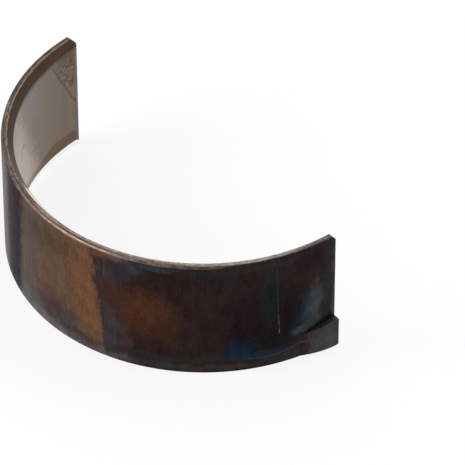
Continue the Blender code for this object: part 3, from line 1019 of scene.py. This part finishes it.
def plated_overlay(tints):
    """Electroplated lead-tin: a soft satin grey with stains and dried rims of oil."""
    plating = Finish("electroplated lead-tin overlay", tints)
    plating.wear((0.8, 0.8, 0.8))
    plating.coat = plating.over("overlay", "overlay_violet", plating.wander(0.0, 0.2, (5, 7, 5)))
    near = plating.pushed(2.0, 0.8)
    plating.lay_spots(OVERLAY_SPOTS, near)
    plating.lay_lines(OVERLAY_LINES, plating.pushed(0.9, 0.7))

    # A net of bubbles in the oil that dried beside the plain end's top corner
    bubbles = add(plating.tree, "ShaderNodeTexVoronoi",
                  {"Vector": plating.pushed(0.8, 0.5), "Scale": 1.05}, feature="DISTANCE_TO_EDGE")
    net = spread(plating.tree, bubbles.outputs["Distance"], 0.85, 0.0, 0.0, 0.14)
    plating.lay("oil_mark", plating.spot(near, share=net, **OIL_FILM))
    plating.vary(0.16, (0.6, 0.9, 0.6), 4.0, 0.7)
    grain = plating.wander(0.96, 1.04, (3.0, 0.12, 0.3))
    plating.brighten(grain)

    # The parting chamfer is cut through the plating: grey, then dark at the very edge
    end = maths(plating.tree, "ABSOLUTE", plating.arc)
    plating.lay("parting_grey", spread(plating.tree, end, 0.0, 0.8, *PARTING_CHAMFER))
    plating.lay("dark_tarnish", spread(plating.tree, end, 0.0, 0.8, *PARTING_EDGE))
    return plating.done(0.38, (1.0, 0.98, 0.96, 1.0), grain, 0.003)


def lanced_steel(tints):
    """Side of the tang where the punch tore it from the wall: rough, blued steel, painted near
    black as shade near the root where the slot is narrow.
    """
    steel = Finish("lanced steel", tints)
    # Painted shade near the root, where the slot is narrow, then the blued steel
    blued = spread(steel.tree, steel.arc, 0.0, 1.0, *SLOT_SHADE_FADE)
    steel.coat = steel.over("near_black_scale_and_shade", "sheared_steel", blued)
    torn = steel.wander(0.6, 1.3, (0.15, 0.6, 0.4), 4.0, 0.6)
    steel.brighten(torn)
    return steel.done(0.45, (0.7, 0.7, 0.7, 1.0), torn, 0.02)


def broached_face(tints):
    """Parting face cut by a broach: brownish steel with upright scores, then bronze at the bore."""
    steel = Finish("broached parting face", tints)
    lining = spread(steel.tree, steel.depth, 0.0, 1.0, *STEEL_DEPTH)
    steel.coat = steel.over("bare_steel", "bronze", lining)
    scores = steel.wander(0.75, 1.25, (1.0, 7.0, 0.07), 4.0, 0.6)
    steel.brighten(scores)
    return steel.done(0.33, (0.8, 0.8, 0.8, 1.0), scores, 0.004)


def seen_share(tree):
    """One where the eye or a reflection looks, nothing where a surface is only a light."""
    rays = add(tree, "ShaderNodeLightPath").outputs
    seen = maths(tree, "MAXIMUM", rays["Is Camera Ray"], rays["Is Glossy Ray"])
    return maths(tree, "MAXIMUM", seen, rays["Is Transmission Ray"])


def matt_card(settings):
    """Matt white card: it looks white to the eye and in the metal, and keeps a soft shadow."""
    material = bpy.data.materials.new("matt white card")
    material.use_nodes = True
    tree = material.node_tree
    shader = tree.nodes["Principled BSDF"]
    connect(tree, shader, {"Base Color": (*settings.floor, 1.0), "Roughness": 0.9})
    share = maths(tree, "MULTIPLY", seen_share(tree), CARD_GLOW)
    white = add(tree, "ShaderNodeEmission", {"Color": WHITE, "Strength": 1.0})
    mixed = add(tree, "ShaderNodeMixShader", {0: share, 1: shader, 2: white})
    connect(tree, tree.nodes["Material Output"], {"Surface": mixed})
    return material


def soft_light(name, direction, distance, size, power):
    """Hang a square area light that faces the shell."""
    data = bpy.data.lights.new(name, "AREA")
    data.shape = "SQUARE"
    data.size = size
    data.energy = power
    light = bpy.data.objects.new(name, data)
    towards = Vector(direction).normalized()
    light.location = LIT_PLACE + towards * distance
    light.rotation_euler = towards.to_track_quat("Z", "Y").to_euler()
    bpy.context.scene.collection.objects.link(light)


def white_surroundings(strength):
    """White all round: full white to the eye and in the metal, softer as a light."""
    world = bpy.data.worlds.new("White surroundings")
    bpy.context.scene.world = world
    world.use_nodes = True
    tree = world.node_tree
    tree.nodes.clear()
    lit = spread(tree, seen_share(tree), strength, 1.0, 0.0, 1.0)
    white = add(tree, "ShaderNodeBackground", {"Color": WHITE, "Strength": lit})
    add(tree, "ShaderNodeOutputWorld", {"Surface": white})


def photo_camera():
    """Long lens from the front right, looking down at the shell."""
    azimuth, elevation, roll = (radians(angle) for angle in CAMERA_ANGLES)
    back = Vector((sin(azimuth) * cos(elevation), -cos(azimuth) * cos(elevation), sin(elevation)))
    level = Vector((cos(azimuth), sin(azimuth), 0.0))
    upright = back.cross(level)
    right = level * cos(roll) + upright * sin(roll)
    up = upright * cos(roll) - level * sin(roll)
    data = bpy.data.cameras.new("Camera")
    data.lens = CAMERA_LENS
    data.sensor_width = 36.0
    data.clip_start = 0.05
    data.clip_end = 20.0
    camera = bpy.data.objects.new("Camera", data)
    place = Vector(CAMERA_TARGET) * MM + back * CAMERA_DISTANCE * MM
    turn = Matrix((right, up, back)).transposed().to_4x4()
    camera.matrix_world = Matrix.Translation(place) @ turn
    bpy.context.scene.collection.objects.link(camera)
    bpy.context.scene.camera = camera


class BEARINGSHELL_OT_add_shell(bpy.types.Operator):
    """Build the bearing shell with its tang, chamfers and finishes"""

    bl_idname = "bearing_shell.add_shell"
    bl_label = "Add Shell"

    def execute(self, context):
        sizes = context.scene.bearing_shell_sizes
        tints = context.scene.bearing_shell_tints
        materials = [heat_tinted_steel(tints), turned_steel(tints), turned_bronze(tints),
                     plated_overlay(tints), lanced_steel(tints), broached_face(tints)]
        mesh = shell_mesh(sizes, materials)
        if not mesh.polygons:
            raise RuntimeError("the wall's nodes made no faces")
        mesh.name = "shell_body"
        mark_creases(mesh)
        shell = bpy.data.objects.new("shell_body", mesh)
        context.scene.collection.objects.link(shell)
        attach(shell, "root")
        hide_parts("bearing_shell")
        return {"FINISHED"}


class BEARINGSHELL_OT_add_stage(bpy.types.Operator):
    """Lay the floor, hang the lights and place the camera"""

    bl_idname = "bearing_shell.add_stage"
    bl_label = "Add Stage"

    def execute(self, context):
        settings = context.scene.bearing_shell_stage
        mesh = bpy.data.meshes.new("floor")
        corners = [(x * FLOOR_HALF, y * FLOOR_HALF, 0.0)
                   for x, y in ((-1, -1), (1, -1), (1, 1), (-1, 1))]
        mesh.from_pydata(corners, [], [(0, 1, 2, 3)])
        mesh.materials.append(matt_card(settings))
        floor = bpy.data.objects.new("floor", mesh)
        context.scene.collection.objects.link(floor)
        soft_light("Key light", *KEY_LIGHT, settings.key_power)
        soft_light("Fill light", *FILL_LIGHT, settings.fill_power)
        white_surroundings(settings.surround)
        photo_camera()
        context.scene.view_settings.view_transform = "Standard"
        return {"FINISHED"}


class BEARINGSHELL_PT_sidebar(bpy.types.Panel):
    """Sidebar panel with the sizes, colours and build steps"""

    bl_idname = "BEARINGSHELL_PT_sidebar"
    bl_label = "Bearing Shell"
    bl_space_type = "VIEW_3D"
    bl_region_type = "UI"
    bl_category = "Bearing Shell"

    def draw(self, context):
        layout = self.layout
        layout.operator(BEARINGSHELL_OT_add_shell.bl_idname)
        layout.operator(BEARINGSHELL_OT_add_stage.bl_idname)
        for group in (context.scene.bearing_shell_sizes, context.scene.bearing_shell_tints,
                      context.scene.bearing_shell_stage):
            column = layout.column(align=True)
            for name in group.__annotations__:
                column.prop(group, name)


CLASSES = (ShellSizes, ShellTints, StageSettings, BEARINGSHELL_OT_add_shell,
           BEARINGSHELL_OT_add_stage, BEARINGSHELL_PT_sidebar)


def register():
    for item in CLASSES:
        bpy.utils.register_class(item)
    bpy.types.Scene.bearing_shell_sizes = PointerProperty(type=ShellSizes)
    bpy.types.Scene.bearing_shell_tints = PointerProperty(type=ShellTints)
    bpy.types.Scene.bearing_shell_stage = PointerProperty(type=StageSettings)


def unregister():
    del bpy.types.Scene.bearing_shell_stage
    del bpy.types.Scene.bearing_shell_tints
    del bpy.types.Scene.bearing_shell_sizes
    for item in reversed(CLASSES):
        bpy.utils.unregister_class(item)


def main():
    """Register the add-on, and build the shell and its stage."""
    register()
    bpy.ops.bearing_shell.add_stage()
    bpy.ops.bearing_shell.add_shell()


if __name__ == "__main__":
    main()
